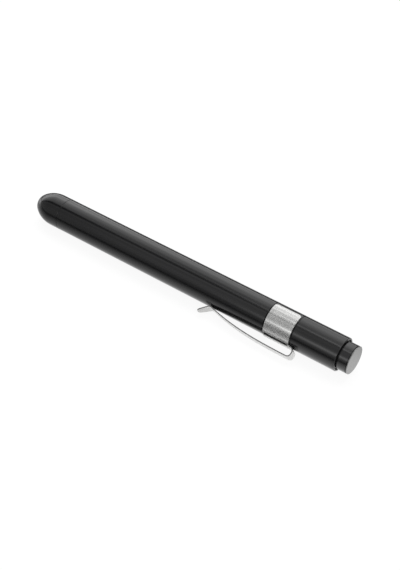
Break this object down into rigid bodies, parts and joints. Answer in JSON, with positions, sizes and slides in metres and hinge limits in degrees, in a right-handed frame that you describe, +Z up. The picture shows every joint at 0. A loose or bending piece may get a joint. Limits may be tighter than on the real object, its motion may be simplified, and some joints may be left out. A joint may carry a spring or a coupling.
{
  "type": "penlight",
  "caption": "Slim pocket penlight: black tube with a domed screw-off nose cap, a sprung steel pocket clip on a ring and a push-button in the tail.",
  "frame": {"origin": "on the table under the middle of the penlight's box, lying on its side", "axes": "+X along the barrel towards the push-button, +Z up, the pocket clip on the -Y side near the table"},
  "size_m": [0.1448, 0.0166, 0.0137],
  "materials": {
    "black_anodised": "black anodised, satin gloss",
    "clip_steel": "brushed along the barrel",
    "satin_aluminium": "fine satin, faced",
    "black_plastic": "moulded, semi-gloss",
    "clear_lens": "clear moulded lens",
    "reflector_chrome": "vacuum metallised bowl",
    "lamp_phosphor": "yellow phosphor under clear resin",
    "board_green": "solder-masked laminate",
    "brass": "turned brass",
    "spring_wire": "nickel-plated spring wire",
    "white_plastic": "natural acetal",
    "black_rubber": "matt rubber",
    "cell_can": "nickel-plated can",
    "cell_sleeve": "plain printed film"
  },
  "bodies": {
    "barrel": {"barrel": "black_anodised", "clip_band": "clip_steel", "front_cell": "cell_can", "front_cell_sleeve": "cell_sleeve", "rear_cell": "cell_can", "rear_cell_sleeve": "cell_sleeve", "battery_spring": "spring_wire", "spring_contact": "brass", "switch_base": "white_plastic", "contact_ring": "brass", "switch_sleeve": "white_plastic", "return_spring": "spring_wire", "tail_bush": "black_plastic"},
    "clip": {"clip_arm": "clip_steel"},
    "button": {"button": "black_plastic", "button_disc": "satin_aluminium", "plunger": "white_plastic", "bridge_contact": "brass"},
    "head_seal": {"head_seal": "black_rubber"},
    "nose": {"nose_cap": "black_anodised", "lens": "clear_lens", "lens_seal": "black_rubber", "reflector": "reflector_chrome", "led": "lamp_phosphor", "led_board": "board_green", "head_insert": "brass", "contact_insulator": "white_plastic", "front_contact": "brass", "front_spring": "spring_wire"}
  },
  "joints": [
    {"name": "button_press", "type": "slide", "parent": "barrel", "child": "button", "axis": [-1, 0, 0], "range_m": [0, 0.002], "stiffness_N_per_m": 900, "springref_m": -0.0012, "deforming": ["return_spring"]},
    {"name": "clip_flex", "type": "hinge", "parent": "barrel", "child": "clip", "pos_m": [0.05045, -0.00557, 0.00291], "axis": [0, -0.4723, 0.8814], "range_deg": [0, 6], "stiffness_Nm_per_rad": 1.6, "springref_deg": -1.72},
    {"name": "nose_draw", "type": "slide", "parent": "barrel", "child": "head_seal", "axis": [-1, 0, 0], "range_m": [0, 0.00321]},
    {"name": "nose_unscrew", "type": "hinge", "parent": "head_seal", "child": "nose", "pos_m": [-0.05835, 0.00176, 0.00684], "axis": [-1, 0, 0], "range_deg": [0, 1440]}
  ],
  "couplings": [
    {"joint": "nose_draw", "follows": "nose_unscrew", "m_per_rad": 0.00012732}
  ]
}
